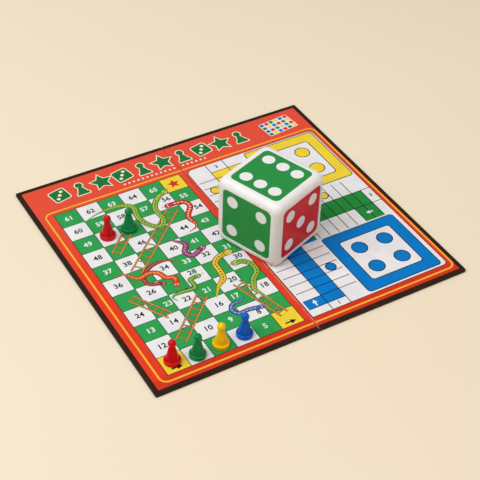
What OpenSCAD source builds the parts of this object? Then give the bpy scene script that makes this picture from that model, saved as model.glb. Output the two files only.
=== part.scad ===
// Folding snakes and ladders board with six pawns and a large hollow die.
// The board lies open, its back at z = 0, with the fold along the Y axis.

/* [Board] */
// Width of the open board, across the fold
board_w = 320; // [240:1:460]
// Depth of the board, along the fold
board_d = 298.5; // [220:0.5:420]
// Radius of the board's outer corners
corner_r = 1.5; // [0.6:0.1:4]
// Thickness of the grey board inside each half
core_t = 2.2; // [1.5:0.1:4]
// Thickness of the black wrapping paper and of the hinge cloth
wrap_t = 0.25; // [0.15:0.05:0.5]
// Width of the dark border left round the print
border_w = 4.5; // [2:0.1:8]
// Width of the wrapping paper turned in over the top
turn_in_w = 14; // [10:0.5:25]
// Thickness of the printed sheet
print_t = 0.25; // [0.15:0.05:0.5]
// Gap between the two halves at the fold
fold_gap = 0.8; // [0.4:0.1:4]
// Width of the cloth strip that joins the halves at the back
hinge_cloth_w = 30; // [16:1:50]
// Slit between the two wings of the cloth strip
wing_slit = 0.3; // [0.2:0.05:0.6]

/* [Squares] */
// Squares in a row
squares_across = 6; // [4:1:8]
// Rows of squares
squares_deep = 11; // [9:1:12]
// From the outer edge to the squares
side_margin = 19.2; // [12:0.1:30]
// From the fold line to the squares
fold_margin = 6.8; // [4:0.1:12]
// From the near edge to the squares
near_margin = 15.6; // [10:0.1:25]
// From the far edge to the squares
far_margin = 48.3; // [20:0.1:70]

/* [Pawns] */
// Height of a pawn
pawn_h = 25.2; // [20:0.1:35]
// Diameter of the foot
foot_d = 15.2; // [12:0.1:18]
// Height of the foot's rim
rim_h = 3.9; // [2.2:0.1:5]
// Rounding of the rim's upper edge
rim_round = 1.1; // [0.5:0.1:1.6]
// Diameter of the cone where it leaves the foot
cone_d = 11.8; // [9:0.1:14]
// Diameter of the neck under the head
neck_d = 5.4; // [4:0.1:7]
// Diameter of the ball head
head_d = 7.4; // [6:0.1:10]
// Wall round the hollow underside
pawn_wall = 1.3; // [0.9:0.1:2]
// Depth of the hollow underside
hollow_h = 14; // [6:0.5:16]

/* [Die] */
// Side of the die
die_side = 71.5; // [50:0.5:90]
// Rounding of the die's edges
die_edge_r = 7; // [3:0.1:9]
// Width of the white frame round each plate
frame_w = 8.3; // [6:0.1:12]
// Rounding of the plates' corners
plate_corner_r = 5; // [3.5:0.1:8]
// Thickness of a plate
plate_t = 1.6; // [1:0.1:3]
// Depth of the plates below the frame
plate_inset = 0.3; // [0.2:0.05:0.8]
// Gap round a plate in its pocket
plate_gap = 0.15; // [0.1:0.05:0.3]
// Width of the ledge that a plate sits on
ledge_w = 3; // [2:0.1:5]
// Thickness of the ledge
ledge_t = 1.6; // [1.2:0.1:3]
// Diameter of a pip
pip_d = 12.3; // [6:0.1:13]
// Distance of the outer pips from the middle of a plate, each way
pip_pitch = 16.5; // [14:0.1:17]
// Depth of the pips
pip_depth = 0.2; // [0.1:0.05:0.6]
// Place of the die across the board, from the fold line
die_x = 25.3; // [0:0.1:60]
// Place of the die along the board, from its middle
die_y = -20.7; // [-60:0.1:40]
// Turn of the die on the board, in degrees
die_turn = 20.6; // [0:0.1:45]

/* [Hidden] */

// Smoothness of exact round surfaces, and of the hull that rounds the die
$fn = 64;
hull_fn = 32;

core_top = wrap_t + core_t;
board_top = core_top + print_t;
core_fold_x = fold_gap / 2 + print_t;

cell_w = (board_w / 2 - side_margin - fold_margin) / squares_across;
cell_d = (board_d - near_margin - far_margin) / squares_deep;

// Each pawn's square as [column, row], then how far it stands off the middle
red_1_spot = [0, 0, -0.6, 1.7];
red_2_spot = [1, 8, -1.1, 1.6];
green_1_spot = [1, 0, -0.9, -2.4];
green_2_spot = [2, 8, -1.4, 1.5];
yellow_spot = [2, 0, 0.3, -1];
blue_spot = [3, 0, 1.6, -0.3];

// The cone starts a little below the rim's top, in a narrow groove
rim_groove_r = 0.3;
cone_z = rim_h - rim_groove_r;
head_z = pawn_h - head_d / 2;
neck_z = head_z - sqrt(pow(head_d / 2, 2) - pow(neck_d / 2, 2));

plate_side = die_side - 2 * frame_w;
pocket_depth = plate_t + plate_inset;
shell_t = pocket_depth + ledge_t;
edge_r = min(die_edge_r, frame_w - plate_gap);
least_edge_r = 0.5;
inner_edge_r = max(edge_r - shell_t, least_edge_r);

grey_board = "#b9b2a3";
black_paper = "#35302c";
black_cloth = "#26221f";
print_red = "#e8402f";
print_white = "#eceaec";
pawn_red = "#c4141f";
pawn_green = "#0b7a3f";
pawn_yellow = "#e4bd12";
pawn_blue = "#0c55b5";
die_white = "#f3f1ef";
plate_green = "#1f8a3f";
plate_red = "#b6222b";

// Left half of the board in plan, drawn in from the outer edges and ending at the fold edge
module half_plan(inset, fold_x, round_r) {
    outer_x = -board_w / 2 + inset;
    outer_y = board_d / 2 - inset;
    run_x = -fold_x - outer_x;
    translate([outer_x + round_r, -outer_y])
        square([run_x - round_r, 2 * outer_y]);
    translate([outer_x, -outer_y + round_r])
        square([run_x, 2 * (outer_y - round_r)]);
    for (side = [-1, 1])
        translate([outer_x + round_r, side * (outer_y - round_r)])
            circle(r = round_r);
}

// Plain rectangle of the left half, drawn in from the outer edges
module half_rectangle(inset, fold_x) {
    translate([-board_w / 2 + inset, -board_d / 2 + inset])
        square([board_w / 2 - inset - fold_x, board_d - 2 * inset]);
}

// A flat layer between two heights
module layer(low, high) {
    translate([0, 0, low])
        linear_extrude(high - low)
            children();
}

// Grey board with a shallow step pressed round its top by the turned-in paper
module core() {
    layer(wrap_t, core_top - wrap_t)
        half_plan(wrap_t, core_fold_x, corner_r - wrap_t);
    layer(core_top - wrap_t, core_top)
        half_rectangle(turn_in_w, core_fold_x);
}

// Black paper: the back, the three outer edges and the band turned in over the top
module wrap() {
    layer(0, wrap_t)
        half_plan(0, hinge_cloth_w / 2, corner_r);
    layer(wrap_t, core_top)
        difference() {
            half_plan(0, fold_gap / 2, corner_r);
            half_plan(wrap_t, 0, corner_r - wrap_t);
        }
    layer(core_top - wrap_t, core_top)
        difference() {
            half_plan(0, core_fold_x, corner_r);
            half_rectangle(turn_in_w, 0);
        }
    for (side = [-1, 1])
        wrap_end(side);
}

// Paper folded round the end of the fold edge, beside the print's turned-down edge
module wrap_end(side) {
    layer(wrap_t, core_top)
        translate([-core_fold_x, side * (board_d / 2 - border_w / 2) - border_w / 2])
            square([print_t, border_w]);
}

// Printed sheet with its fold edge turned down into the gap
module print_sheet() {
    layer(core_top, board_top)
        half_rectangle(border_w, fold_gap / 2);
    layer(wrap_t, core_top)
        translate([-core_fold_x, -board_d / 2 + border_w])
            square([print_t, board_d - 2 * border_w]);
}

// One wing of the cloth strip on the back
module cloth_wing() {
    layer(0, wrap_t)
        translate([-hinge_cloth_w / 2, -board_d / 2])
            square([(hinge_cloth_w - wing_slit) / 2, board_d]);
}

// Half outline of a pawn: rimmed foot, cone, ball head and hollow underside
module pawn_outline() {
    foot_r = foot_d / 2;
    hollow_r = cone_d / 2 - pawn_wall;
    hollow_tip_r = hollow_r * (1 - hollow_h / pawn_h);
    difference() {
        union() {
            square([foot_r, rim_h - rim_round]);
            square([foot_r - rim_round, rim_h]);
            translate([foot_r - rim_round, rim_h - rim_round])
                circle(r = rim_round);
            polygon([[0, 0], [cone_d / 2, 0], [cone_d / 2, cone_z], [neck_d / 2, neck_z], [0, neck_z]]);
            intersection() {
                translate([0, head_z])
                    circle(d = head_d);
                square([head_d, pawn_h]);
            }
        }
        translate([cone_d / 2 + rim_groove_r, rim_h])
            circle(r = rim_groove_r);
        polygon([[0, 0], [hollow_r, 0], [hollow_tip_r, hollow_h], [0, hollow_h]]);
    }
}

// A pawn standing on its square
module pawn(spot) {
    spot_x = -board_w / 2 + side_margin + (spot[0] + 0.5) * cell_w + spot[2];
    spot_y = -board_d / 2 + near_margin + (spot[1] + 0.5) * cell_d + spot[3];
    translate([spot_x, spot_y, board_top])
        rotate_extrude()
            pawn_outline();
}

// Square with rounded corners, centred
module rounded_square(side, round_r) {
    flat = side - 2 * round_r;
    square([side, flat], center = true);
    square([flat, side], center = true);
    for (x = [-1, 1], y = [-1, 1])
        translate([x * flat / 2, y * flat / 2])
            circle(r = round_r);
}

// Cube with rounded edges and true flat sides, centred
module rounded_cube(side, round_r) {
    flat = side - 2 * round_r;
    hull() {
        for (x = [-1, 1], y = [-1, 1], z = [-1, 1])
            translate([x, y, z] * flat / 2)
                sphere(r = round_r, $fn = hull_fn);
        cube([side, flat, flat], center = true);
        cube([flat, side, flat], center = true);
        cube([flat, flat, side], center = true);
    }
}

// Turns a face that points up towards each side: the pips on opposite sides add up to seven
function face_turn(pips) =
    pips == 6 ? [0, 0, 0] :
    pips == 1 ? [180, 0, 0] :
    pips == 5 ? [90, 0, 0] :
    pips == 2 ? [-90, 0, 0] :
    pips == 4 ? [0, -90, 0] :
    [0, 90, 0];

// Places of a face's pips, in steps of the pitch from its middle
function pip_spots(pips) = concat(
    pips % 2 == 1 ? [[0, 0]] : [],
    pips > 1 ? [[-1, 1], [1, -1]] : [],
    pips > 3 ? [[1, 1], [-1, -1]] : [],
    pips == 6 ? [[-1, 0], [1, 0]] : []
);

// Puts what is drawn round the die's middle where the die stands
module on_board() {
    translate([die_x, die_y, board_top + die_side / 2])
        rotate([0, 0, die_turn])
            children();
}

// Hollow white frame with a stepped window on each side
module die_frame() {
    over = 1;
    window_side = plate_side - 2 * ledge_w;
    difference() {
        rounded_cube(die_side, edge_r);
        rounded_cube(die_side - 2 * shell_t, inner_edge_r);
        for (pips = [1:6])
            rotate(face_turn(pips)) {
                layer(die_side / 2 - pocket_depth, die_side / 2 + over)
                    rounded_square(plate_side + 2 * plate_gap, plate_corner_r + plate_gap);
                layer(die_side / 2 - shell_t - over, die_side / 2)
                    rounded_square(window_side, plate_corner_r);
            }
    }
}

// Coloured plate with shallow pips, seated on the ledge of its window
module die_plate(pips) {
    plate_top = die_side / 2 - plate_inset;
    rotate(face_turn(pips))
        difference() {
            layer(plate_top - plate_t, plate_top)
                rounded_square(plate_side, plate_corner_r);
            for (spot = pip_spots(pips))
                translate([spot[0] * pip_pitch, spot[1] * pip_pitch, plate_top - pip_depth])
                    cylinder(d = pip_d, h = 2 * pip_depth);
        }
}

module left_core() { color(grey_board) core(); }
module left_wrap() { color(black_paper) wrap(); }
module left_print() { color(print_red) print_sheet(); }
module left_hinge_cloth() { color(black_cloth) cloth_wing(); }
module right_core() { color(grey_board) mirror([1, 0, 0]) core(); }
module right_wrap() { color(black_paper) mirror([1, 0, 0]) wrap(); }
module right_print() { color(print_white) mirror([1, 0, 0]) print_sheet(); }
module right_hinge_cloth() { color(black_cloth) mirror([1, 0, 0]) cloth_wing(); }
module red_pawn_1() { color(pawn_red) pawn(red_1_spot); }
module red_pawn_2() { color(pawn_red) pawn(red_2_spot); }
module green_pawn_1() { color(pawn_green) pawn(green_1_spot); }
module green_pawn_2() { color(pawn_green) pawn(green_2_spot); }
module yellow_pawn() { color(pawn_yellow) pawn(yellow_spot); }
module blue_pawn() { color(pawn_blue) pawn(blue_spot); }
module die_body() { color(die_white) on_board() die_frame(); }
module die_face_1() { color(plate_green) on_board() die_plate(1); }
module die_face_2() { color(plate_red) on_board() die_plate(2); }
module die_face_3() { color(plate_green) on_board() die_plate(3); }
module die_face_4() { color(plate_green) on_board() die_plate(4); }
module die_face_5() { color(plate_red) on_board() die_plate(5); }
module die_face_6() { color(plate_green) on_board() die_plate(6); }

left_core();
left_wrap();
left_print();
left_hinge_cloth();
right_core();
right_wrap();
right_print();
right_hinge_cloth();
red_pawn_1();
red_pawn_2();
green_pawn_1();
green_pawn_2();
yellow_pawn();
blue_pawn();
die_body();
die_face_1();
die_face_2();
die_face_3();
die_face_4();
die_face_5();
die_face_6();
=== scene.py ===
"""Folding snakes and ladders board laid open, set out with six pawns and a large die."""

import math

import bmesh
import bpy
from mathutils import Matrix, Vector


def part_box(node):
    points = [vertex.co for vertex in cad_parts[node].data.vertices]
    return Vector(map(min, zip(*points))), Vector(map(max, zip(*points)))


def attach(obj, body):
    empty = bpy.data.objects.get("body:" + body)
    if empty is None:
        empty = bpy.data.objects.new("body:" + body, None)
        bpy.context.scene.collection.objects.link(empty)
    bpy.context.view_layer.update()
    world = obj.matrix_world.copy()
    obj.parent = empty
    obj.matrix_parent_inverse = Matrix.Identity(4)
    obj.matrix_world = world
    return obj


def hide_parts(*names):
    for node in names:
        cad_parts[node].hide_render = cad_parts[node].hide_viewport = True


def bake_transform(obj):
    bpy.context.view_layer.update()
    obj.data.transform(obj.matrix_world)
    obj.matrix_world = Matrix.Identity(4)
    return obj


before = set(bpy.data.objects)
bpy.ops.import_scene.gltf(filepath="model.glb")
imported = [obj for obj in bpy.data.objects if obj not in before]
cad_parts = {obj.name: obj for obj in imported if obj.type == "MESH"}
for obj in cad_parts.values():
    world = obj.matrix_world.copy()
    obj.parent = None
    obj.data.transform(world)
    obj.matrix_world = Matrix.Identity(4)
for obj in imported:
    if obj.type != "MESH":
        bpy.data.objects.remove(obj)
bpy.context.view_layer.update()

# Shapes are drawn in millimetres and brought to metres when a piece is put together
MM = 0.001


def mm_box(node):
    """A node's lowest and highest corners in millimetres."""
    low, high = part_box(node)
    return Vector(low) / MM, Vector(high) / MM


# Board, read from its right half
PRINT_LOW, PRINT_HIGH = mm_box("right_print")
WRAP_HIGH = mm_box("right_wrap")[1]
CLOTH_LOW, CLOTH_HIGH = mm_box("right_hinge_cloth")
FOLD_X = PRINT_LOW.x
PRINT_X = PRINT_HIGH.x
PRINT_Y = PRINT_HIGH.y
BOARD_Y = WRAP_HIGH.y
CORE_TOP = WRAP_HIGH.z
CLOTH_TOP = CLOTH_HIGH.z
CLOTH_BEND = 1
THREAD_PITCH = 0.7

# Inks lie on the paper in thin steps, none over the top of the frame's print
INK_STEP = 0.01
INK_LEVELS = 15
INK_SINK = 0.02
PAPER_TOP = PRINT_HIGH.z - (INK_LEVELS + 1) * INK_STEP
LIP_ROUND = 0.25
FLAP_THICKNESS = 0.25

# Squares of the left half
COLUMNS = 6
ROWS = 11
GRID_LEFT = 19.2 - WRAP_HIGH.x
GRID_RIGHT = -6
GRID_NEAR = 15.6 - BOARD_Y
GRID_FAR = BOARD_Y - 48.3
CELL_W = (GRID_RIGHT - GRID_LEFT) / COLUMNS
CELL_D = (GRID_FAR - GRID_NEAR) / ROWS
GRID_LINE = 0.65
SQUARE_ARROW = (11, 5.5)
SQUARE_STAR = (7, 3)

# Figures: height, its share of the font's size, boldness as a share of it, spacing
DIGIT_HEIGHT = 5.9
DIGIT_SHARE = 0.73
DIGIT_BOLD = 0.036
DIGIT_SPACING = 1.06

# Line round the print
LINE_LEFT = -149
LINE_RIGHT = 154.4
LINE_NEAR = -140.1
LINE_FAR = 105.5
LINE_ROUND = 7
LINE_WIDTH = 2.6
LINE_CORE = 0.9

# Title band
TITLE_Y = 126.5
TITLE_SIZE = 18.5
TITLE_PITCH = 22.4
SIGN_BORDER = 1.1
DOTS_Y = 112
DOT_PITCH = 5
DOT_D = 2.4

# Race layout of the right half
PANEL = (2.7, -133.6, 150, 101)
PANEL_ROUNDS = (0.3, 4, 5.5, 6.5)
LANE_X = (4.5, 23.8, 43, 62.2)
LANE_Y = (-48.5, -27.5, -6.5, 14.5)
NEAR_END = -124.8
NEAR_PITCH = 11.1
FAR_END = 87.6
FAR_PITCH = 10.45
SIDE_END = 139.6
SIDE_PITCH = 10.5
THIN_LINE = 0.8
OUTLINE = 0.95
HOME_SIDE = 79.8
HOME_ROUND = 3
BLUE_HOME = (65.2, -130.8)
YELLOW_HOME = (68, 19)
HOME_BORDER = 11.9
COUNTER_D = 14.3
COUNTER_OFFSET = 14.2
STOP_D = 9
LANE_ARROW = (8, 5)
LANE_DIGIT = 4.4

# Pawns
RIM_HEIGHT = 3.9
RIM_ROUND = 1.1
CONE_D = 11.8
NECK_D = 5.4
HEAD_D = 7.4
PAWN_WALL = 1.3
HOLLOW_HEIGHT = 14
GROOVE_ROUND = 0.3
PAWN_SIDES = 72

# Die
DIE_LOW, DIE_HIGH = mm_box("die_body")
DIE_SIDE = DIE_HIGH.z - DIE_LOW.z
DIE_TURN = math.radians(20.6)
DIE_ROUND = 7
FRAME_W = 8.3
PLATE_GAP = 0.15
PLATE_ROUND = 5
PLATE_THICKNESS = 1.6
PLATE_INSET = 0.3
LEDGE_W = 3
LEDGE_THICKNESS = 1.6
WINDOW_EDGE = 0.35
PIP_D = 12.3
PIP_PITCH = 16.5
PIP_DEPTH = 0.2
PIP_GAP = 0.05
PIP_SINK = 0.02
EDGE_STEPS = 6


def srgb(red, green, blue):
    """A colour written in 0 to 255, as the linear values that a shader takes."""
    shares = [value / 255 for value in (red, green, blue)]
    linear = [s / 12.92 if s <= 0.04045 else ((s + 0.055) / 1.055) ** 2.4 for s in shares]
    return (*linear, 1.0)


def shaded(colour, factor):
    """A linear colour made darker or lighter."""
    return (*[min(value * factor, 1.0) for value in colour[:3]], 1.0)


def fill(tree, node, sockets):
    """Sets a node's inputs, or links them where a value comes from another node."""
    for socket, value in sockets.items():
        if isinstance(value, bpy.types.NodeSocket):
            tree.links.new(value, node.inputs[socket])
        else:
            node.inputs[socket].default_value = value


def add_node(tree, kind, *values, **settings):
    """Adds a node. Values fill its first inputs, capitalised settings named inputs, others options."""
    node = tree.nodes.new(kind)
    sockets = dict(enumerate(values))
    for name, value in settings.items():
        if name[0].isupper():
            sockets[name.replace("_", " ")] = value
        else:
            setattr(node, name, value)
    fill(tree, node, sockets)
    return node


def math_node(tree, operation, *values):
    """One step of arithmetic."""
    return add_node(tree, "ShaderNodeMath", *values, operation=operation).outputs[0]


def split(tree, place):
    """X, Y and Z of a place."""
    return add_node(tree, "ShaderNodeSeparateXYZ", place).outputs[:]


def spread(tree, value, low, high, start=0.3, end=0.7):
    """Spreads a value from its own range over another one."""
    return add_node(tree, "ShaderNodeMapRange", value, start, end, low, high).outputs[0]


def mixed(tree, share, first, second, kind="RGBA"):
    """Mixes two colours by a share, or two numbers."""
    output = ("FLOAT", "VECTOR", "RGBA").index(kind)
    node = add_node(tree, "ShaderNodeMix", share, data_type=kind)
    fill(tree, node, {2 * output + 2: first, 2 * output + 3: second})
    return node.outputs[output]


# Materials


def new_material(name, **sockets):
    """A Principled material with some sockets set, and Object coordinates for its patterns."""
    material = bpy.data.materials.new(name)
    material.use_nodes = True
    tree = material.node_tree
    shader = tree.nodes["Principled BSDF"]
    fill(tree, shader, {socket.replace("_", " "): value for socket, value in sockets.items()})
    return material, tree, shader, add_node(tree, "ShaderNodeTexCoord").outputs["Object"]


def noise(tree, place, size, detail=2.0):
    """Noise with blobs of about size millimetres."""
    scale = 1 / (size * MM)
    return add_node(tree, "ShaderNodeTexNoise", Vector=place, Scale=scale, Detail=detail).outputs[0]


def set_surface(tree, shader, colour, roughness, height, depth):
    """Gives a shader colour, roughness and a relief, its depth in millimetres."""
    relief = add_node(tree, "ShaderNodeBump", Height=height, Distance=depth * MM).outputs[0]
    fill(tree, shader, {"Base Color": colour, "Roughness": roughness, "Normal": relief})


def mottled(name, colours, blotch, reach, grain, roughness, depth, overlay=None, **sockets):
    """Blotches of two colours under an overlay, if there is one, and a grain in gloss and relief."""
    material, tree, shader, place = new_material(name, **sockets)
    blotches = noise(tree, place, *blotch)
    colour = mixed(tree, spread(tree, blotches, 0, 1, *reach), *colours)
    if overlay:
        colour = overlay(tree, place, colour)
    height = noise(tree, place, grain) if grain else blotches
    set_surface(tree, shader, colour, spread(tree, height, *roughness), height, depth)
    return material


def printed_ink(name, colour, overlay=None):
    """Ink on coated paper: faint density changes, a satin film and a trace of paper grain."""
    colours = (shaded(colour, 0.95), shaded(colour, 1.04))
    return mottled(name, colours, (16,), (), 0.4, (0.42, 0.55), 0.004, overlay, Specular_IOR_Level=0.1)


def fold_lips(tree, place, left_share, right_share, reach):
    """Share of rubbing and of painted highlight on the upper lips of the fold, out to a reach, most at the
    near end.
    """
    x, y, z = split(tree, place)
    from_fold = math_node(tree, "ABSOLUTE", x)
    share = spread(tree, from_fold, 1, 0, (FOLD_X + LIP_ROUND) * MM, (FOLD_X + reach) * MM)
    factors = (
        spread(tree, z, 0, 1, (CORE_TOP - 0.6) * MM, CORE_TOP * MM),
        spread(tree, x, left_share, right_share, -0.1 * MM, 0.1 * MM),
        spread(tree, noise(tree, place, 5), 0.3, 1, 0.35, 0.6),
        spread(tree, y, 1, 0.2, -60 * MM, 80 * MM),
    )
    for factor in factors:
        share = math_node(tree, "MULTIPLY", share, factor)
    return share


def red_sheet(tree, place, even):
    """Even red made deeper near by, paler towards the far side, and worn at the fold with a painted
    highlight on its lips.
    """
    along = split(tree, place)[1]
    near_edge = spread(tree, along, 1, 0, (GRID_NEAR - 3) * MM, (GRID_NEAR + 3) * MM)
    far_side = spread(tree, along, 0, 1, 0, GRID_FAR * MM)
    deepened = mixed(tree, near_edge, even, shaded(RED_FIELD, 0.8))
    field = mixed(tree, far_side, deepened, srgb(234, 82, 60))
    # Pale pink on the fold's lips: worn paper together with a painted highlight
    return mixed(tree, fold_lips(tree, place, 0.4, 1, 0.7), field, srgb(250, 170, 150))


def black_paper():
    """Black wrapping paper with a pebbled grain, rubbed in patches and pale at the fold from wear and a
    painted highlight.
    """
    material, tree, shader, place = new_material("black_paper", Specular_IOR_Level=0.14)
    pebbles = noise(tree, place, 0.8, 3)
    rubbed = spread(tree, noise(tree, place, 6, 3), 0, 0.5, 0.5, 0.75)
    black = mixed(tree, spread(tree, pebbles, 0, 1), srgb(36, 22, 10), srgb(50, 33, 18))
    worn = mixed(tree, rubbed, black, srgb(62, 43, 28))
    # Pale grey on the fold's lips: wear together with a painted highlight
    colour = mixed(tree, fold_lips(tree, place, 0.9, 0.3, 0.8), worn, srgb(196, 190, 178))
    set_surface(tree, shader, colour, spread(tree, pebbles, 0.5, 0.68), pebbles, 0.03)
    return material


def hinge_cloth():
    """Black book cloth in a plain weave."""
    material, tree, shader, place = new_material("hinge_cloth", Specular_IOR_Level=0.25, Sheen_Weight=0.15)
    turns = 2 * math.pi / (THREAD_PITCH * MM)
    across, along, _ = split(tree, place)
    waves = [math_node(tree, "SINE", math_node(tree, "MULTIPLY", way, turns)) for way in (across, along)]
    threads = spread(tree, math_node(tree, "MULTIPLY", *waves), 0, 1, -1, 1)
    slubs = noise(tree, place, 2.5, 3)
    black = mixed(tree, threads, srgb(26, 23, 22), srgb(50, 45, 42))
    colour = mixed(tree, spread(tree, slubs, 0, 0.4), black, srgb(60, 54, 50))
    set_surface(tree, shader, colour, spread(tree, slubs, 0.75, 0.9), threads, 0.06)
    return material


def grey_board():
    """Pressed grey board with flecks of fibre."""
    greys = (srgb(168, 161, 148), srgb(198, 190, 176))
    return mottled("grey_board", greys, (1.2, 4), (), None, (0.8, 0.95), 0.05, Specular_IOR_Level=0.2)


def pawn_plastic(name, colour):
    """Glossy moulding with tinted highlights, a slight flow of colour and a soft orange peel."""
    strongest = max(colour[:3])
    tint = (*[0.35 + 0.65 * value / strongest for value in colour[:3]], 1.0)
    colours = (shaded(colour, 0.97), shaded(colour, 1.03))
    gloss = {"Specular_IOR_Level": 0.45, "Specular_Tint": tint}
    return mottled(name, colours, (7,), (), 1.1, (0.17, 0.24), 0.003, **gloss)


def die_plastic():
    """Satin white moulding with a fine texture and faint handling marks."""
    whites = (srgb(247, 246, 246), srgb(241, 240, 240))
    satin = {"roughness": (0.34, 0.46), "depth": 0.008, "Specular_IOR_Level": 0.45}
    return mottled("die_white_plastic", whites, (18, 4), (0.4, 0.75), 0.5, **satin)


def plate_plastic(name, colour):
    """Smooth coloured plate with a clear gloss and faint scuffs."""
    gloss = {"Specular_IOR_Level": 0.13, "Coat_Weight": 0.04, "Coat_Roughness": 0.1}
    material, tree, shader, place = new_material(name, **gloss)
    scuffs = noise(tree, place, 14, 3)
    colour = mixed(tree, spread(tree, scuffs, 0, 1), shaded(colour, 0.97), shaded(colour, 1.03))
    set_surface(tree, shader, colour, spread(tree, scuffs, 0.27, 0.33), noise(tree, place, 1.5), 0.006)
    return material


def floor_paper():
    """Plain warm cream backdrop."""
    material, tree, shader, place = new_material("floor_paper", Roughness=0.9, Specular_IOR_Level=0.1)
    drift = spread(tree, noise(tree, place, 400), 0, 1)
    fill(tree, shader, {"Base Color": mixed(tree, drift, srgb(250, 234, 208), srgb(248, 231, 204))})
    return material


RED_FIELD = srgb(234, 62, 36)
INK_COLOURS = {
    "orange": (246, 118, 34),
    "light_orange": (255, 212, 72),
    "green": (48, 163, 82),
    "white": (240, 239, 240),
    "yellow": (248, 217, 58),
    "black": (26, 24, 24),
    "line": (14, 13, 13),
    "blue": (0, 124, 206),
    "lane_green": (36, 144, 62),
    "red": (226, 48, 38),
    "dark_red": (134, 28, 20),
    "cream": (250, 240, 205),
    "title_green": (30, 120, 62),
    "wood": (196, 118, 48),
    "wood_light": (232, 172, 98),
    "wood_edge": (100, 60, 26),
    "lime": (148, 184, 58),
    "lime_edge": (62, 88, 28),
    "leaf": (112, 160, 56),
    "leaf_edge": (46, 78, 28),
    "scarlet": (214, 56, 42),
    "scarlet_edge": (128, 30, 24),
    "coral": (230, 84, 42),
    "maroon": (166, 58, 50),
    "violet": (152, 66, 114),
    "violet_edge": (84, 30, 64),
    "pink": (206, 134, 170),
    "gold": (236, 190, 40),
    "gold_edge": (104, 70, 18),
    "royal": (74, 104, 184),
    "royal_edge": (36, 50, 110),
}


# Lit side of each snake's skin
LIT_SHARE = 0.25
LIT_TONE = 240
for skin in ("lime", "leaf", "scarlet", "coral", "maroon", "violet", "gold", "royal"):
    lit_colour = [round((1 - LIT_SHARE) * value + LIT_SHARE * LIT_TONE) for value in INK_COLOURS[skin]]
    INK_COLOURS[skin + "_back"] = lit_colour
INKS = {name: printed_ink(name + "_ink", srgb(*colour)) for name, colour in INK_COLOURS.items()}
RED_PAPER = printed_ink("red_printed_paper", RED_FIELD, red_sheet)
BLACK_PAPER = black_paper()
HINGE_CLOTH = hinge_cloth()


# Node trees for what repeats or follows a path


def new_tree(name, **inputs):
    """A geometry tree with a material and other named inputs, given with their kinds."""
    tree = bpy.data.node_groups.new(name, "GeometryNodeTree")
    tree.is_modifier = True
    for label, kind in {"Geometry": "Geometry", "Material": "Material", **inputs}.items():
        tree.interface.new_socket(label, in_out="INPUT", socket_type="NodeSocket" + kind)
    tree.interface.new_socket("Geometry", in_out="OUTPUT", socket_type="NodeSocketGeometry")
    return tree, add_node(tree, "NodeGroupInput").outputs


def geometry(tree, kind, **settings):
    """What a new geometry node gives out first."""
    return add_node(tree, "GeometryNode" + kind, **settings).outputs[0]


def end_tree(tree, given, shape):
    """Realizes what a tree makes, gives it its material and sends it out."""
    real = geometry(tree, "RealizeInstances", Geometry=shape)
    dressed = geometry(tree, "SetMaterial", Geometry=real, Material=given["Material"])
    add_node(tree, "NodeGroupOutput", Geometry=dressed)
    return tree


def combined(tree, x, y, z):
    """A vector from three numbers."""
    return add_node(tree, "ShaderNodeCombineXYZ", x, y, z).outputs[0]


def row_tree():
    """The shape that comes in, set out in a straight row."""
    tree, given = new_tree("row", Count="Int", First="Vector", Step="Vector")
    line = {"Count": given["Count"], "Start_Location": given["First"], "Offset": given["Step"]}
    points = geometry(tree, "MeshLine", **line, mode="OFFSET")
    row = geometry(tree, "InstanceOnPoints", Points=points, Instance=given["Geometry"])
    return end_tree(tree, given, row)


def smooth_path(tree, path):
    """A path of straight edges made into a smooth curve."""
    return geometry(tree, "CurveSplineType", Curve=path, spline_type="CATMULL_ROM")


def ribbon_tree(name, smooth):
    """A flat band along a path that thins towards its start, between a low and a high face."""
    numbers = dict.fromkeys(("Width", "Tip", "Taper", "Low", "High"), "Float")
    tree, given = new_tree(name, Steps="Int", **numbers)
    path = geometry(tree, "MeshToCurve", Mesh=given["Geometry"])
    if smooth:
        path = geometry(tree, "ResampleCurve", Curve=smooth_path(tree, path), Count=given["Steps"])
    share = geometry(tree, "SplineParameter")
    taper = {"Value": share, "From_Max": given["Taper"], "To_Min": given["Tip"], "To_Max": 1.0}
    swell = add_node(tree, "ShaderNodeMapRange", **taper, interpolation_type="SMOOTHSTEP").outputs[0]
    half_width = math_node(tree, "MULTIPLY", given["Width"], 0.5)
    radius = math_node(tree, "MULTIPLY", half_width, swell)
    section = geometry(tree, "CurvePrimitiveQuadrilateral", Width=2, Height=2)
    sweep = {"Curve": path, "Profile_Curve": section, "Scale": radius, "Fill_Caps": True}
    band = geometry(tree, "CurveToMesh", **sweep)
    x, y, z = split(tree, geometry(tree, "InputPosition"))
    above = math_node(tree, "GREATER_THAN", z, 0)
    height = mixed(tree, above, given["Low"], given["High"], "FLOAT")
    level = geometry(tree, "SetPosition", Geometry=band, Position=combined(tree, x, y, height))
    return end_tree(tree, given, level)


def spots_tree():
    """Round spots spaced along a path, smaller towards its start."""
    tree, given = new_tree("spots", Count="Int", Radius="Float", Low="Float", High="Float")
    path = smooth_path(tree, geometry(tree, "MeshToCurve", Mesh=given["Geometry"]))
    trimmed = geometry(tree, "TrimCurve", Curve=path, Start=0.14, End=0.9)
    points = geometry(tree, "ResampleCurve", Curve=trimmed, Count=given["Count"])
    scale = spread(tree, geometry(tree, "SplineParameter"), 0.45, 1, 0, 0.35)
    depth = math_node(tree, "SUBTRACT", given["High"], given["Low"])
    spot = geometry(tree, "MeshCylinder", Vertices=12, Radius=given["Radius"], Depth=depth)
    sizes = combined(tree, scale, scale, 1)
    spots = geometry(tree, "InstanceOnPoints", Points=points, Instance=spot, Scale=sizes)
    middle = mixed(tree, 0.5, given["Low"], given["High"], "FLOAT")
    raised = geometry(tree, "Transform", Geometry=spots, Translation=combined(tree, 0, 0, middle))
    return end_tree(tree, given, raised)


ROW = row_tree()
SNAKE = ribbon_tree("snake", True)
BAND = ribbon_tree("band", False)
SPOTS = spots_tree()


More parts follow.
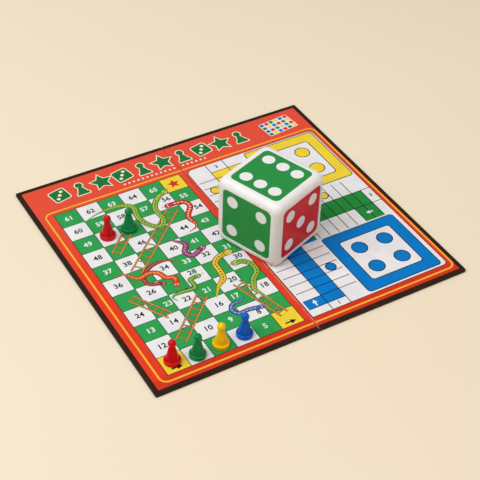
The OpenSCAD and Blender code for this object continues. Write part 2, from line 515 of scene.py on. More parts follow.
def add_object(name, data):
    """An object with this data, put in the scene."""
    added = bpy.data.objects.new(name, data)
    bpy.context.scene.collection.objects.link(added)
    return added


def plain_mesh(carrier):
    """The mesh that a carrier object shows. The carrier and its modifiers go."""
    evaluated = carrier.evaluated_get(bpy.context.evaluated_depsgraph_get())
    mesh = bpy.data.meshes.new_from_object(evaluated)
    carrier.modifiers.clear()
    bpy.data.objects.remove(carrier)
    return mesh


def run_tree(tree, base, **values):
    """The plain mesh that a tree makes from a base mesh and named values."""
    carrier = add_object("carrier", base)
    modifier = carrier.modifiers.new("shape", "NODES")
    modifier.node_group = tree
    for item in tree.interface.items_tree:
        label = item.name.lower()
        if item.in_out == "INPUT" and label in values:
            modifier[item.identifier] = values[label]
    return plain_mesh(carrier)


# Flat outlines


def arc(x, y, radius, start, end, steps=8):
    """Points on an arc, its angles in degrees."""
    angles = [math.radians(start + (end - start) * i / steps) for i in range(steps + 1)]
    return [(x + radius * math.cos(a), y + radius * math.sin(a)) for a in angles]


def circle(x, y, diameter, sides=48):
    """Points round a circle."""
    return arc(x, y, diameter / 2, 0, 360 * (1 - 1 / sides), sides - 1)


def rectangle(low_x, low_y, high_x, high_y, grow=0.0):
    """Rectangle, grown all round."""
    near, far = low_y - grow, high_y + grow
    left, right = low_x - grow, high_x + grow
    return [(left, near), (right, near), (right, far), (left, far)]


def rounded_rectangle(low_x, low_y, high_x, high_y, rounds, grow=0.0):
    """Rectangle with a rounding for each corner, from near left anticlockwise, grown all round."""
    inward = ((1, 1), (-1, 1), (-1, -1), (1, -1))
    outline = []
    for i, (x, y) in enumerate(rectangle(low_x, low_y, high_x, high_y)):
        middle = (x + rounds[i] * inward[i][0], y + rounds[i] * inward[i][1])
        outline += arc(*middle, rounds[i] + grow, 180 + 90 * i, 270 + 90 * i)
    return outline


def star(x, y, outer, inner, points=5):
    """Upright star."""
    turn = math.pi / points
    radii = [outer if i % 2 == 0 else inner for i in range(2 * points)]
    return [(x + r * math.sin(-i * turn), y + r * math.cos(-i * turn)) for i, r in enumerate(radii)]


def moved(outline, x, y, turn=0.0):
    """An outline turned about the origin by degrees, then moved."""
    cosine = math.cos(math.radians(turn))
    sine = math.sin(math.radians(turn))
    return [(x + px * cosine - py * sine, y + px * sine + py * cosine) for px, py in outline]


def mirrored(upper):
    """Outline from its upper half, which ends on the X axis."""
    return [(x, -y) for x, y in upper] + upper[-2::-1]


def arrow(length, width):
    """Arrow along +X, centred on the origin."""
    half = width / 2
    shaft = 0.28 * half
    return mirrored([(-length / 2, shaft), (0, shaft), (0, half), (length / 2, 0)])


def pawn_sign(size, grow=0.0):
    """Side view of a pawn as a flat sign, grown all round by a border."""
    head = 0.2 * size + grow
    foot = 0.34 * size + grow
    low = -0.5 * size - grow
    high = 0.3 * size
    neck = 0.1 * size + grow
    angle = math.degrees(math.asin(neck / head))
    return [
        (-foot, low),
        (foot, low),
        (foot, low + 0.16 * size + grow),
        (0.26 * size + grow, low + 0.2 * size + grow),
        *arc(0, high, head, angle - 90, 270 - angle, 16),
        (-0.26 * size - grow, low + 0.2 * size + grow),
        (-foot, low + 0.16 * size + grow),
    ]


# Meshes of printed shapes


def ink_heights(level):
    """Low and high face of an ink on a level."""
    return PAPER_TOP - INK_SINK, PAPER_TOP + level * INK_STEP


def mesh_of(build, material):
    """The finished mesh, with one material."""
    mesh = bpy.data.meshes.new("shape")
    bmesh.ops.recalc_face_normals(build, faces=build.faces)
    build.to_mesh(mesh)
    build.free()
    mesh.materials.append(material)
    return mesh


def bridge(build, rings):
    """Faces between each ring of points and the next, with three corners at a single point."""
    for low, high in zip(rings, rings[1:]):
        for i in range(len(low)):
            corners = dict.fromkeys((low[i - 1], low[i], high[i], high[i - 1]))
            build.faces.new(list(corners))


def prism(ends, material):
    """A closed body between two flat ends."""
    build = bmesh.new()
    rings = [[build.verts.new(point) for point in end] for end in ends]
    bridge(build, rings)
    for ring in rings:
        build.faces.new(ring)
    return mesh_of(build, material)


def slab(outline, low, high, material):
    """A flat outline given thickness."""
    return prism([[(x, y, z) for x, y in outline] for z in (low, high)], material)


def printed(outline, ink, level):
    """A printed shape on a level."""
    return slab(outline, *ink_heights(level), INKS[ink])


def path_mesh(points):
    """A path of straight edges at height 0."""
    mesh = bpy.data.meshes.new("path")
    edges = [(i, i + 1) for i in range(len(points) - 1)]
    mesh.from_pydata([(x, y, 0) for x, y in points], edges, [])
    return mesh


def inked(tree, points, ink, level, **values):
    """What a tree draws along a path in an ink."""
    low, high = ink_heights(level)
    return run_tree(tree, path_mesh(points), material=INKS[ink], low=low, high=high, **values)


def row_of(base, count, first, step):
    """A mesh repeated in a straight row."""
    places = {"count": count, "first": (*first, 0), "step": (*step, 0)}
    return run_tree(ROW, base, material=base.materials[0], **places)


def printed_number(text, x, y, height, ink, level):
    """A number in plain bold figures."""
    low, high = ink_heights(level)
    figures = bpy.data.curves.new("figures", "FONT")
    figures.body = text
    figures.size = height / DIGIT_SHARE
    figures.offset = DIGIT_BOLD * height
    figures.space_character = DIGIT_SPACING
    figures.resolution_u = 4
    figures.extrude = (high - low) / 2
    figures.align_x = "CENTER"
    figures.align_y = "CENTER"
    mesh = plain_mesh(add_object("figures", figures))
    mesh.transform(Matrix.Translation((x, y, (low + high) / 2)))
    build = bmesh.new()
    build.from_mesh(mesh)
    bpy.data.meshes.remove(mesh)
    bmesh.ops.remove_doubles(build, verts=build.verts, dist=0.0005)
    return mesh_of(build, INKS[ink])


def make_piece(name, meshes, body=None, smooth=False):
    """Joins meshes drawn in millimetres into one piece in metres, on a body."""
    build = bmesh.new()
    # A node's own shape starts with an empty slot, so a mesh has its only material in the last one
    materials = list(dict.fromkeys(mesh.materials[-1] for mesh in meshes))
    for mesh in meshes:
        start = len(build.faces)
        build.from_mesh(mesh)
        build.faces.ensure_lookup_table()
        for face in build.faces[start:]:
            face.material_index = materials.index(mesh.materials[-1])
            face.smooth = smooth
        bpy.data.meshes.remove(mesh)
    joined = bpy.data.meshes.new(name)
    build.to_mesh(joined)
    build.free()
    joined.transform(Matrix.Scale(MM, 4))
    for material in materials:
        joined.materials.append(material)
    piece = add_object(name, joined)
    if body:
        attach(piece, body)
    return piece


# Board


def swept(profile, reach, material):
    """A closed profile in X and Z, swept along Y to both sides."""
    return prism([[(x, y, z) for x, z in profile] for y in (-reach, reach)], material)


def printed_paper(side):
    """Printed sheet of one half, its fold edge rounded over and turned down into the gap."""
    profile = [
        (PRINT_X, CORE_TOP),
        (PRINT_X, PAPER_TOP),
        *arc(FOLD_X + LIP_ROUND, PAPER_TOP - LIP_ROUND, LIP_ROUND, 90, 180),
        (FOLD_X, CLOTH_TOP),
        (FOLD_X + FLAP_THICKNESS, CLOTH_TOP),
        (FOLD_X + FLAP_THICKNESS, CORE_TOP),
    ]
    return swept([(side * x, z) for x, z in profile], PRINT_Y, RED_PAPER)


def cloth_strip():
    """The cloth strip on the back in one piece, with close rows of points where it bends."""
    steps = 12
    half = CLOTH_HIGH.x
    across = [-half, *[1.2 * CLOTH_BEND * (2 * i / steps - 1) for i in range(steps + 1)], half]
    top = [(x, CLOTH_TOP) for x in across]
    bottom = [(x, CLOTH_LOW.z) for x in reversed(across)]
    return swept(top + bottom, BOARD_Y, HINGE_CLOTH)


def border_line(side):
    """Half of the line round the print, ending at the lip of the fold."""
    inner = FOLD_X + LIP_ROUND
    turn = (LINE_RIGHT if side > 0 else -LINE_LEFT) - LINE_ROUND
    half = [
        (inner, LINE_NEAR),
        *arc(turn, LINE_NEAR + LINE_ROUND, LINE_ROUND, 270, 360),
        *arc(turn, LINE_FAR - LINE_ROUND, LINE_ROUND, 0, 90),
        (inner, LINE_FAR),
    ]
    points = [(side * x, y) for x, y in half]
    even = {"tip": 1.0, "taper": 0.5}
    return [
        inked(BAND, points, "orange", 1, width=LINE_WIDTH, **even),
        inked(BAND, points, "light_orange", 2, width=LINE_CORE, **even),
    ]


def cell(column, row):
    """Place on the board of a point given in squares."""
    return GRID_LEFT + column * CELL_W, GRID_NEAR + row * CELL_D


YELLOW_CELLS = ((0, 0), (COLUMNS - 1, 0), (COLUMNS - 1, ROWS - 1))
# Squares that a snake or a ladder covers too far to hold a number
COVERED_CELLS = (
    (1, 1), (5, 1), (2, 2), (5, 3), (0, 4), (2, 4), (4, 4), (1, 5), (2, 6), (1, 7), (3, 7), (3, 8), (4, 8)
)
# Numbers set off the middle of their squares, clear of a snake or a ladder, in squares
NUMBER_SHIFTS = {
    (4, 1): (0.18, -0.16),
    (4, 2): (-0.2, 0.12),
    (5, 2): (0.16, 0.12),
    (1, 3): (0.28, 0.06),
    (2, 3): (0.06, -0.06),
    (4, 3): (0.2, 0.06),
    (3, 4): (-0.03, 0.27),
    (5, 4): (0.1, 0.24),
    (2, 5): (0.12, 0.08),
    (3, 5): (0.1, 0),
    (1, 6): (-0.1, 0.05),
    (5, 8): (0.2, 0),
    (3, 9): (0.08, 0),
    (4, 9): (0.2, 0.15),
}


def cell_square(column, row):
    """Outline of a square, drawn in by half a line."""
    return rectangle(*cell(column, row), *cell(column + 1, row + 1), -GRID_LINE / 2)


def squares():
    """Dark ground that shows as lines, with green, white and yellow squares over it."""
    meshes = [printed(rectangle(GRID_LEFT, GRID_NEAR, GRID_RIGHT, GRID_FAR, GRID_LINE / 2), "line", 1)]
    for parity, ink in enumerate(("green", "white")):
        for row in range(ROWS):
            first = printed(cell_square((row + parity) % 2, row), ink, 2)
            meshes.append(row_of(first, COLUMNS // 2, (0, 0), (2 * CELL_W, 0)))
    return meshes + [printed(cell_square(*place), "yellow", 3) for place in YELLOW_CELLS]


def square_numbers():
    """Numbers that run to and fro up the rows, two arrows, and a star on the last square."""
    meshes = []
    for row in range(ROWS):
        for column in range(COLUMNS):
            if (column, row) in YELLOW_CELLS + COVERED_CELLS:
                continue
            order = column if row % 2 == 0 else COLUMNS - 1 - column
            ink = "white" if (column + row) % 2 == 0 else "black"
            shift_x, shift_y = NUMBER_SHIFTS.get((column, row), (0, 0))
            place = cell(column + 0.5 + shift_x, row + 0.5 + shift_y)
            meshes.append(printed_number(str(row * COLUMNS + order + 1), *place, DIGIT_HEIGHT, ink, 3))
    for column in (0, COLUMNS - 1):
        meshes.append(printed(moved(arrow(*SQUARE_ARROW), *cell(column + 0.5, 0.22)), "black", 4))
    meshes.append(printed(star(*cell(COLUMNS - 0.5, ROWS - 0.5), *SQUARE_STAR), "scarlet", 4))
    return meshes


# Ladders: foot and top in squares, width, rungs
LADDERS = (
    ((1.25, 7.35), (2.35, 8.5), 8, 5),
    ((1.5, 5.9), (4.7, 8.95), 10, 11),
    ((0.6, 4.6), (1.55, 2.9), 7.2, 7),
    ((1.25, 1.4), (3.2, 3.35), 9.5, 8),
    ((4.75, 3.3), (5.5, 0.75), 8.4, 9),
)
RAIL_W = 1.3
RUNG_W = 1
FIRST_RUNG = 0.07
LAST_RUNG = 0.93


def ladder(foot, top, width, rungs, ink, level, edge):
    """One pass of a ladder: two rails, and rungs half a level lower, all grown by an edge."""
    along = top - foot
    side = Vector((along.y, -along.x)).normalized() * width
    turn = math.degrees(math.atan2(along.y, along.x))
    low, high = ink_heights(level)
    rails = (along.length, RAIL_W, 0, 2, (foot + top + side) / 2, -side)
    rung_step = along * (LAST_RUNG - FIRST_RUNG) / (rungs - 1)
    steps = (RUNG_W, width, INK_STEP / 2, rungs, foot + along * FIRST_RUNG, rung_step)
    meshes = []
    for long, wide, drop, *row in (rails, steps):
        bar = moved(rectangle(-long / 2, -wide / 2, long / 2, wide / 2, edge / 2), 0, 0, turn)
        meshes.append(row_of(slab(bar, low + drop, high - drop, INKS[ink]), *row))
    return meshes


def ladders():
    """Wooden ladders, each with a darker edge and a lighter line along every bar."""
    meshes = []
    for foot, top, width, rungs in LADDERS:
        ends = (Vector(cell(*foot)), Vector(cell(*top)))
        for ink, level, edge in (("wood_edge", 4, 0.7), ("wood", 5, 0), ("wood_light", 5.7, -0.8)):
            meshes += ladder(*ends, width, rungs, ink, level, edge)
    return meshes


# Snakes: path in squares from tail to head, width, inks of skin, edge and spots, level if it lies over
SNAKE_LEVEL = 6
OVER_LEVEL = 10.5
SNAKE_EDGE = 1.5
SNAKE_STEP = 0.8
SPOT_PITCH = 4.5
SNAKES = (
    (
        ((0.9, 9.9), (1.7, 10.2), (2.6, 10.25), (3.2, 9.9), (3.1, 9.1), (3.3, 8.4),
         (3.7, 8.1), (4, 8.5), (4, 9.3), (4.4, 9.9), (4.85, 10.15)),
        4.6, "lime", "lime_edge", "leaf_edge",
    ),
    (
        ((4.6, 7.15), (5.05, 7.4), (5, 8.1), (5.4, 8.7), (5.3, 9.1), (4.95, 9.2), (4.6, 9.2)),
        4.6, "scarlet", "scarlet_edge", "cream",
    ),
    (
        ((3.5, 7.2), (3.75, 6.9), (4.05, 6.5), (3.8, 6.05), (4, 5.7), (4.55, 5.95)),
        4.4, "violet", "violet_edge", "pink",
    ),
    (
        ((0.6, 6.05), (1, 6), (1.4, 5.5), (1.9, 5.6), (2.25, 5.4), (2.4, 5), (2.7, 4.85), (2.6, 4.45)),
        4.2, "coral", "scarlet_edge", "gold", OVER_LEVEL,
    ),
    (
        ((3.3, 5.45), (2.9, 5.95), (2.2, 5.95), (1.65, 5.5), (1.6, 5), (2.15, 4.75)),
        3, "maroon", "scarlet_edge", "coral",
    ),
    (
        ((2.2, 3.5), (2.1, 3.8), (2.5, 3.9), (3.1, 3.85), (3.2, 4.1), (3.2, 4.4), (3.55, 4.45)),
        3.6, "leaf", "leaf_edge", "lime",
    ),
    (
        ((3.6, 2.9), (4, 3.45), (4.4, 3.8), (4.5, 4.3), (4.55, 4.8), (4.9, 5.1), (5.35, 5.15)),
        5, "gold", "gold_edge", "gold_edge",
    ),
    (
        ((5.5, 1.7), (5.35, 2.1), (5.2, 2.6), (5.45, 3.15), (5.8, 3.5), (5.85, 4), (5.6, 4.35), (5.3, 4.4)),
        4.8, "lime", "leaf_edge", "leaf_edge",
    ),
    (
        ((4.65, 2.55), (4.45, 2.25), (4, 2.25), (3.8, 1.95), (3.95, 1.65), (4.4, 1.65), (4.9, 1.55)),
        3.6, "royal", "royal_edge", "gold",
    ),
)


def snake(path, width, skin, edge, spots, level=SNAKE_LEVEL):
    """A plain snake: dark edge, tapered body lit along one side, spots, and a head at its end."""
    points = [cell(*point) for point in path]
    lit_shift = 0.16 * width
    shares = [min(i / 3, 1) for i in range(len(points))]
    lit = [(x - lit_shift * share, y + lit_shift * share) for (x, y), share in zip(points, shares)]
    length = sum(math.dist(a, b) for a, b in zip(points, points[1:]))
    body = {"tip": 0.15, "taper": 0.4, "steps": round(length / SNAKE_STEP)}
    bands = (
        (edge, points, level, width + SNAKE_EDGE),
        (skin, points, level + 1, width),
        (skin + "_back", lit, level + 1.5, 0.34 * width),
    )
    meshes = [inked(SNAKE, line, ink, high, width=across, **body) for ink, line, high, across in bands]
    marks = {"radius": 0.18 * width, "count": round(length / SPOT_PITCH)}
    meshes.append(inked(SPOTS, points, spots, level + 2, **marks))
    before, (x, y) = points[-2:]
    turn = math.degrees(math.atan2(y - before[1], x - before[0]))
    return meshes + snake_head(x, y, turn, width, skin, edge, level)


def oval(length, width):
    """Oval along +X, centred on the origin."""
    return [(x * length, y * width) for x, y in circle(0, 0, 1, 28)]


def snake_head(x, y, turn, width, skin, edge, level):
    """Head of a snake that points along turn."""
    long = 1.75 * width
    wide = 1.35 * width
    tongue = mirrored([(0, 0.25), (2, 0.25), (3.2, 1), (3.4, 0.7), (2.5, 0)])
    shapes = [
        (tongue, long / 2, 0, "scarlet", level - 0.5),
        (oval(long + 0.9, wide + 0.9), 0, 0, edge, level + 2.5),
        (oval(long, wide), 0, 0, skin, level + 3),
    ]
    for side in (-1, 1):
        shapes.append((circle(0, 0, 0.4 * width, 16), 0.12 * long, side * 0.24 * wide, "white", level + 3.5))
        shapes.append((circle(0, 0, 0.2 * width, 12), 0.15 * long, side * 0.24 * wide, "black", level + 4))
    meshes = []
    for outline, ahead, aside, ink, height in shapes:
        meshes.append(printed(moved(moved(outline, ahead, aside), x, y, turn), ink, height))
    return meshes


def title_sign(index, x):
    """One of the signs that take turns: star, pawn and die face, with a cream border."""
    kind = index % 3
    turn = 0
    if kind == 0:
        outer = 0.62 * TITLE_SIZE
        inner = 0.5 * outer
        outlines = [star(0, 0, outer + 2 * SIGN_BORDER, inner + 1.1 * SIGN_BORDER), star(0, 0, outer, inner)]
    elif kind == 1:
        outlines = [pawn_sign(TITLE_SIZE, SIGN_BORDER), pawn_sign(TITLE_SIZE)]
    else:
        turn = 12
        half = 0.44 * TITLE_SIZE
        face = (-half, -half, half, half, [2] * 4)
        outlines = [rounded_rectangle(*face, SIGN_BORDER), rounded_rectangle(*face)]
        outlines += [circle(spot, spot, 0.2 * TITLE_SIZE, 20) for spot in (-0.5 * half, 0, 0.5 * half)]
    layers = (("cream", 1), ("title_green", 2), ("cream", 3), ("cream", 3), ("cream", 3))
    return [printed(moved(outline, x, TITLE_Y, turn), *layer) for outline, layer in zip(outlines, layers)]


def title_band(side):
    """Row of signs over a row of dots, clear of the fold."""
    signs, dots, first = (6, 12, 0) if side < 0 else (4, 6, 1)
    step = side * DOT_PITCH
    meshes = []
    for index in range(signs):
        meshes += title_sign(index + first, side * TITLE_PITCH * (index + 0.5))
    dot = printed(circle(0, 0, DOT_D, 20), "white", 1)
    return meshes + [row_of(dot, dots, (step, DOTS_Y), (step, 0))]


def title_tile():
    """Small tile of coloured squares at the end of the title band."""
    place = (125, 125, 6)
    columns, rows = 6, 4
    cell_w, cell_d = 6, 5.75
    half_w, half_d = 0.36 * cell_w, 0.36 * cell_d
    inks = ("lane_green", "yellow", "blue", "red")
    tile = (-columns * cell_w / 2, -rows * cell_d / 2, columns * cell_w / 2, rows * cell_d / 2)
    meshes = [printed(moved(rounded_rectangle(*tile, [1.5] * 4), *place), "white", 1)]
    for row in range(rows):
        for column in range(columns):
            x = tile[0] + (column + 0.5) * cell_w
            y = tile[1] + (row + 0.5) * cell_d
            outline = moved(rectangle(x - half_w, y - half_d, x + half_w, y + half_d), *place)
            meshes.append(printed(outline, inks[(column + 2 * row) % 4], 2))
    return meshes


# Race layout


def outlined(box, ink, level, line_ink="line"):
    """A rounded rectangle with a thin dark line round it."""
    return [
        printed(rounded_rectangle(*box, OUTLINE), line_ink, level),
        printed(rounded_rectangle(*box), ink, level + 1),
    ]


def disc(x, y, diameter, ink, level):
    """A round spot with a thin dark line round it."""
    return [
        printed(circle(x, y, diameter + 2 * OUTLINE), "line", level),
        printed(circle(x, y, diameter), ink, level + 1),
    ]


def race_home(low_x, low_y, ink):
    """Home yard with a white field and four round places."""
    meshes = []
    for border, fill_ink, level in ((0, ink, 3), (HOME_BORDER, "white", 5)):
        far = HOME_SIDE - border
        box = (low_x + border, low_y + border, low_x + far, low_y + far, [HOME_ROUND] * 4)
        meshes += outlined(box, fill_ink, level)
    middle = HOME_SIDE / 2
    for x in (-COUNTER_OFFSET, COUNTER_OFFSET):
        for y in (-COUNTER_OFFSET, COUNTER_OFFSET):
            meshes += disc(low_x + middle + x, low_y + middle + y, COUNTER_D, ink, 7)
    return meshes


def race_lanes():
    """Coloured lanes and start places, thin lines between the squares, and the centre's wedges."""
    left, middle_left, middle_right, right = LANE_X
    near, middle_near, middle_far, far = LANE_Y
    half = THIN_LINE / 2
    fields = (
        ("blue", (middle_left, NEAR_END, middle_right, near)),
        ("blue", (left, NEAR_END, middle_left, NEAR_END + NEAR_PITCH)),
        ("yellow", (middle_left, far, middle_right, FAR_END)),
        ("yellow", (middle_right, FAR_END - FAR_PITCH, right, FAR_END)),
        ("lane_green", (right, middle_near, SIDE_END, middle_far)),
        ("lane_green", (SIDE_END - 2 * SIDE_PITCH, near, SIDE_END, middle_near)),
    )
    meshes = [printed(rectangle(*field), ink, 3) for ink, field in fields]
    across = rectangle(left, -half, right, half)
    upright = rectangle(-half, near, half, far)
    near_post = rectangle(-half, PANEL[1], half, near)
    far_post = rectangle(-half, far, half, PANEL[3])
    side_line = rectangle(right, -half, PANEL[2], half)
    posts = (2, (middle_left, 0), (middle_right - middle_left, 0))
    rows = (
        (across, 6, (0, NEAR_END + NEAR_PITCH), (0, NEAR_PITCH)),
        (across, 7, (0, FAR_END - FAR_PITCH), (0, -FAR_PITCH)),
        (upright, 7, (SIDE_END - SIDE_PITCH, 0), (-SIDE_PITCH, 0)),
        (near_post, *posts),
        (far_post, *posts),
        (side_line, 2, (0, middle_near), (0, middle_far - middle_near)),
    )
    meshes += [row_of(printed(outline, "line", 4), *row) for outline, *row in rows]
    ends = (
        (left, NEAR_END - half, middle_right, NEAR_END + half),
        (middle_left, FAR_END - half, right, FAR_END + half),
        (SIDE_END - half, near, SIDE_END + half, middle_far),
    )
    meshes += [printed(rectangle(*end), "line", 4) for end in ends]
    centre = ((left + right) / 2, (near + far) / 2)
    corners = rectangle(left, near, right, far)
    for i, ink in enumerate(("blue", "lane_green", "yellow", "red")):
        meshes.append(printed([corners[i], corners[(i + 1) % 4], centre], ink, 5))
    return meshes


def middles(edges):
    """The middle between each edge and the next."""
    return [(a + b) / 2 for a, b in zip(edges, edges[1:])]


def race_signs():
    """Stopping places, start arrows and the number at the end of each lane."""
    left_lane, middle_lane, right_lane = middles(LANE_X)
    near_lane, side_lane, far_lane = middles(LANE_Y)
    meshes = disc(right_lane, NEAR_END + 3.5 * NEAR_PITCH, STOP_D, "blue", 5)
    meshes += disc(left_lane, FAR_END - 2.5 * FAR_PITCH, STOP_D, "yellow", 5)
    meshes += disc(SIDE_END - 3.5 * SIDE_PITCH, far_lane, STOP_D, "yellow", 5)
    starts = (
        (left_lane, NEAR_END + 0.5 * NEAR_PITCH, 90),
        (right_lane, FAR_END - 0.5 * FAR_PITCH, -90),
        (SIDE_END - SIDE_PITCH, near_lane, 180),
    )
    meshes += [printed(moved(arrow(*LANE_ARROW), *start), "white", 5) for start in starts]
    numbers = (
        ("1", middle_lane, (PANEL[1] + NEAR_END) / 2),
        ("2", middle_lane, (PANEL[3] + FAR_END) / 2),
        ("3", (PANEL[2] + SIDE_END) / 2, side_lane),
    )
    meshes += [printed_number(*number, LANE_DIGIT, "black", 5) for number in numbers]
    return meshes


def dress_board():
    """Prints, fold and cloth of the board."""
    left_paper = make_piece("left_printed_paper", [printed_paper(-1)], "left_half")
    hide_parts("left_print")
    right_paper = make_piece("right_printed_paper", [printed_paper(1)], "right_half")
    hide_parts("right_print")
    layers = (
        ("left_border_line", "left", border_line(-1)),
        ("right_border_line", "right", border_line(1)),
        ("left_title_band", "left", title_band(-1)),
        ("right_title_band", "right", title_band(1) + title_tile()),
        ("squares", "left", squares()),
        ("square_numbers", "left", square_numbers()),
        ("ladders", "left", ladders()),
        ("snakes", "left", [mesh for parts in SNAKES for mesh in snake(*parts)]),
        ("race_panel", "right", outlined((*PANEL, PANEL_ROUNDS), "white", 1, "dark_red")),
        ("blue_home", "right", race_home(*BLUE_HOME, "blue")),
        ("yellow_home", "right", race_home(*YELLOW_HOME, "yellow")),
        ("race_lanes", "right", race_lanes()),
        ("race_signs", "right", race_signs()),
    )
    for name, half, meshes in layers:
        make_piece(name, meshes, half + "_half")
    cloth = make_piece("hinge_cloth_strip", [cloth_strip()])
    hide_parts("left_hinge_cloth", "right_hinge_cloth")
    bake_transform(cloth)


# Pawns


def pawn_profile(height, foot_r):
    """Half outline of a pawn, from the top of its hollow round to the top of its head."""
    edge = 0.25
    fillet = 0.5
    cone_r = CONE_D / 2
    neck_r = NECK_D / 2
    head_r = HEAD_D / 2
    hollow_r = cone_r - PAWN_WALL
    hollow_tip = hollow_r * (1 - HOLLOW_HEIGHT / height)
    cone_z = RIM_HEIGHT - GROOVE_ROUND
    head_z = height - head_r
    drop = math.sqrt(head_r**2 - neck_r**2)
    neck_z = head_z - drop
    slope = (cone_r - neck_r) / (neck_z - cone_z)
    start = math.degrees(math.atan2(-drop, neck_r))
    return [
        (0, HOLLOW_HEIGHT),
        (hollow_tip - edge, HOLLOW_HEIGHT),
        (hollow_tip, HOLLOW_HEIGHT - edge),
        (hollow_r, edge),
        (hollow_r + edge, 0),
        (foot_r - edge, 0),
        *arc(foot_r - edge, edge, edge, -90, 0, 4)[1:],
        *arc(foot_r - RIM_ROUND, RIM_HEIGHT - RIM_ROUND, RIM_ROUND, 0, 90, 10),
        *arc(cone_r + GROOVE_ROUND, RIM_HEIGHT, GROOVE_ROUND, 360, 180, 8)[1:-1],
        (cone_r, cone_z + 0.6),
        ((cone_r + neck_r) / 2, (cone_z + neck_z) / 2),
        (neck_r + slope * fillet, neck_z - fillet),
        *arc(0, head_z, head_r, start + 4, 90, 20),
    ]


def turned(profile, material, sides):
    """A closed profile of radius and height, turned round the upright axis."""
    build = bmesh.new()
    rings = []
    for radius, z in profile:
        if radius < 1e-6:
            rings.append([build.verts.new((0, 0, z))] * sides)
        else:
            rings.append([build.verts.new((x, y, z)) for x, y in circle(0, 0, 2 * radius, sides)])
    bridge(build, rings)
    return mesh_of(build, material)


PAWN_COLOURS = {
    "red": srgb(212, 12, 18),
    "green": srgb(0, 136, 72),
    "yellow": srgb(255, 206, 0),
    "blue": srgb(0, 96, 204),
}


def dress_pawns():
    """Moulded pawns where the frame's pawns stand."""
    pawns = {
        "red_pawn_1": ("first_red_pawn", "red"),
        "red_pawn_2": ("second_red_pawn", "red"),
        "green_pawn_1": ("first_green_pawn", "green"),
        "green_pawn_2": ("second_green_pawn", "green"),
        "yellow_pawn": ("yellow_pawn", "yellow"),
        "blue_pawn": ("blue_pawn", "blue"),
    }
    plastics = {name: pawn_plastic(name + "_pawn_plastic", colour) for name, colour in PAWN_COLOURS.items()}
    for node, (body, colour) in pawns.items():
        low, high = mm_box(node)
        foot_r = (high.x - low.x) / 2
        mesh = turned(pawn_profile(high.z - low.z, foot_r), plastics[colour], PAWN_SIDES)
        mesh.transform(Matrix.Translation(((low.x + high.x) / 2, (low.y + high.y) / 2, low.z)))
        piece = make_piece(node + "_moulding", [mesh], body, smooth=True)
        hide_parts(node)


# Die

# Turn that brings the top to each face, as quarter turns and their axis
QUARTERS = {6: (0, "X"), 1: (2, "X"), 5: (1, "X"), 2: (-1, "X"), 4: (-1, "Y"), 3: (1, "Y")}
FACE_TURNS = {}
for pips, (quarters, axis) in QUARTERS.items():
    FACE_TURNS[pips] = Matrix.Rotation(quarters * math.pi / 2, 4, axis)

# Rows of pips on each face as count, first place and step, in steps of the pitch
PIP_ROWS = {
    1: ((1, (0, 0), (0, 0)),),
    2: ((2, (-1, 1), (2, -2)),),
    3: ((3, (-1, 1), (1, -1)),),
    4: ((2, (-1, -1), (0, 2)), (2, (1, -1), (0, 2))),
    5: ((3, (-1, 1), (1, -1)), (2, (-1, -1), (2, 2))),
    6: ((3, (-1, -1), (0, 1)), (3, (1, -1), (0, 1))),
}

DIE_PLACE = Matrix.Translation((DIE_LOW + DIE_HIGH) / 2) @ Matrix.Rotation(DIE_TURN, 4, "Z")


def four_sides(side, height):
    """The points of one side, repeated round all four at a height."""
    points = [point for quarter in range(4) for point in moved(side, 0, 0, 90 * quarter)]
    return [Vector((x, y, height)) for x, y in points]


def window_ring(half, corner, height):
    """Rounded square ring of the die's window, with as many points as the other rings."""
    flat = half - corner
    return four_sides([(-flat, -half), *arc(flat, -flat, corner, -90, 0, 2 * EDGE_STEPS)], height)


def square_ring(half, height):
    """Square ring with a point for each point of a window ring."""
    flat = DIE_SIDE / 2 - FRAME_W - PLATE_ROUND
    reaches = [(half - flat) * i / EDGE_STEPS for i in range(EDGE_STEPS + 1)]
    side = [(-flat, -half)]
    side += [(flat + reach, -half) for reach in reaches]
    side += [(half, reach - half) for reach in reaches[1:]]
    return four_sides(side, height)


def rounded(point, half, radius):
    """A point of a cube's surface brought onto the cube with rounded edges."""
    flat = half - radius
    core = Vector([max(-flat, min(flat, value)) for value in point])
    return core + (point - core).normalized() * radius


def shell_rings(half, radius):
    """Rings of one face's rounded border, from its flat part out to the next face."""
    flat = half - radius
    rings = []
    for i in range(EDGE_STEPS + 1):
        grown = radius * math.tan(math.radians(45 * i / EDGE_STEPS))
        ring = square_ring(flat, half)
        for point in ring:
            for axis in (0, 1):
                if abs(point[axis]) > flat - 1e-6:
                    point[axis] += math.copysign(grown, point[axis])
        rings.append([rounded(point, half, radius) for point in ring])
    return rings


def die_frame_mesh(material):
    """Hollow frame: rounded outside, six stepped windows with softened rims, and a cavity."""
    half = DIE_SIDE / 2
    pocket = half - PLATE_INSET - PLATE_THICKNESS
    cavity = pocket - LEDGE_THICKNESS
    window = half - FRAME_W + PLATE_GAP
    corner = PLATE_ROUND + PLATE_GAP
    opening = window - LEDGE_W - PLATE_GAP
    edge = arc(WINDOW_EDGE, half - WINDOW_EDGE, WINDOW_EDGE, 90, 180, 4)
    face_rings = [
        *reversed(shell_rings(half, DIE_ROUND)),
        *[window_ring(window + out, corner + out, height) for out, height in edge],
        window_ring(window, corner, pocket),
        window_ring(opening, PLATE_ROUND, pocket),
        window_ring(opening, PLATE_ROUND, cavity),
        *shell_rings(cavity, DIE_ROUND - half + cavity),
    ]
    build = bmesh.new()
    for turn in FACE_TURNS.values():
        bridge(build, [[build.verts.new(turn @ point) for point in ring] for ring in face_rings])
    bmesh.ops.remove_doubles(build, verts=build.verts, dist=0.001)
    return mesh_of(build, material)


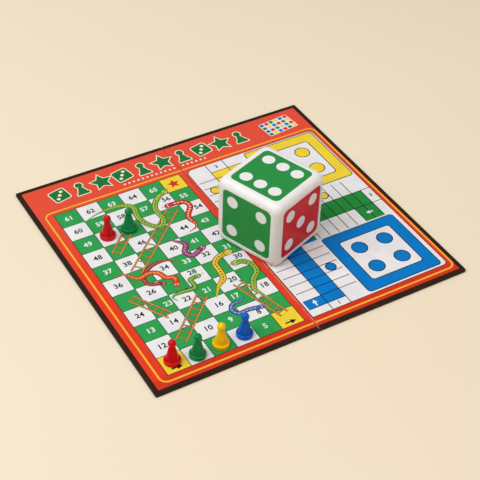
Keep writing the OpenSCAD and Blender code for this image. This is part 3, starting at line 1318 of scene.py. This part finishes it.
def die_pips(material):
    """White pips set into the plates' round recesses."""
    top = DIE_SIDE / 2 - PLATE_INSET
    meshes = []
    for pips, rows in PIP_ROWS.items():
        for count, *places in rows:
            base = slab(circle(0, 0, PIP_D - 2 * PIP_GAP), top - PIP_DEPTH, top - PIP_SINK, material)
            mesh = row_of(base, count, *[(PIP_PITCH * x, PIP_PITCH * y) for x, y in places])
            mesh.transform(DIE_PLACE @ FACE_TURNS[pips])
            meshes.append(mesh)
    return meshes


def finish_node(node, material):
    """Gives a frame node its finish."""
    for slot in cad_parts[node].material_slots:
        slot.material = material


def dress_die():
    """White frame and pips, and a finish for the coloured plates."""
    white = die_plastic()
    mesh = die_frame_mesh(white)
    mesh.transform(DIE_PLACE)
    piece = make_piece("die_frame", [mesh], "die", smooth=True)
    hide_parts("die_body")
    make_piece("die_pips", die_pips(white), "die")
    green = plate_plastic("green_plate", srgb(44, 146, 70))
    red = plate_plastic("red_plate", srgb(214, 26, 14))
    for pips in FACE_TURNS:
        finish_node("die_face_" + str(pips), red if pips in (2, 5) else green)


def dress_inside():
    """Finishes of the frame nodes that stay as they are."""
    grey = grey_board()
    for side in ("left", "right"):
        finish_node(side + "_core", grey)
        finish_node(side + "_wrap", BLACK_PAPER)


# Stage, in metres

FLOOR_REACH = 3
FLOOR_HEIGHT = -0.0001


def add_floor():
    """Plain floor under the board."""
    mesh = bpy.data.meshes.new("floor")
    corners = rectangle(-FLOOR_REACH, -FLOOR_REACH, FLOOR_REACH, FLOOR_REACH)
    mesh.from_pydata([(x, y, FLOOR_HEIGHT) for x, y in corners], [], [(0, 1, 2, 3)])
    mesh.materials.append(floor_paper())
    floor = add_object("floor", mesh)


def add_light(name, place, size, watts, colour):
    """Square area lamp that faces the board's middle."""
    lamp = bpy.data.lights.new(name, "AREA")
    lamp.shape = "SQUARE"
    lamp.size = size
    lamp.energy = watts
    lamp.color = colour
    light = add_object(name, lamp)
    light.location = place
    light.rotation_mode = "QUATERNION"
    light.rotation_quaternion = (-Vector(place)).to_track_quat("-Z", "Y")


def add_world():
    """Even soft light from all round."""
    world = bpy.data.worlds.new("studio")
    world.use_nodes = True
    background = world.node_tree.nodes["Background"]
    background.inputs["Color"].default_value = (1.0, 0.975, 0.94, 1.0)
    background.inputs["Strength"].default_value = 0.26
    bpy.context.scene.world = world


def add_camera():
    """Camera at the photograph's viewing angle."""
    target = Vector((-2.2, -14.3, 2.7)) * MM
    distance = 1165 * MM
    azimuth, elevation, roll = -31.4, 41.1, 1.9
    lens = bpy.data.cameras.new("camera")
    lens.lens = 93.2
    lens.sensor_width = 36
    pose = Matrix.Translation(target)
    for angle, axis in ((azimuth, "Z"), (90 - elevation, "X"), (roll, "Z")):
        pose = pose @ Matrix.Rotation(math.radians(angle), 4, axis)
    camera = add_object("camera", lens)
    camera.matrix_world = pose @ Matrix.Translation((0, 0, distance))
    bpy.context.scene.camera = camera


dress_board()
dress_pawns()
dress_die()
dress_inside()
add_floor()
add_world()
add_light("key", (-1.45, 0.2, 1.95), 1.8, 35, (0.97, 0.99, 1.0))
add_light("top", (0.1, -0.1, 2.3), 2.6, 20, (0.98, 0.99, 1.0))
add_light("fill", (1.1, -1.5, 0.7), 1.2, 4, (1.0, 0.62, 0.35))
add_camera()
bpy.context.scene.view_settings.view_transform = "Standard"
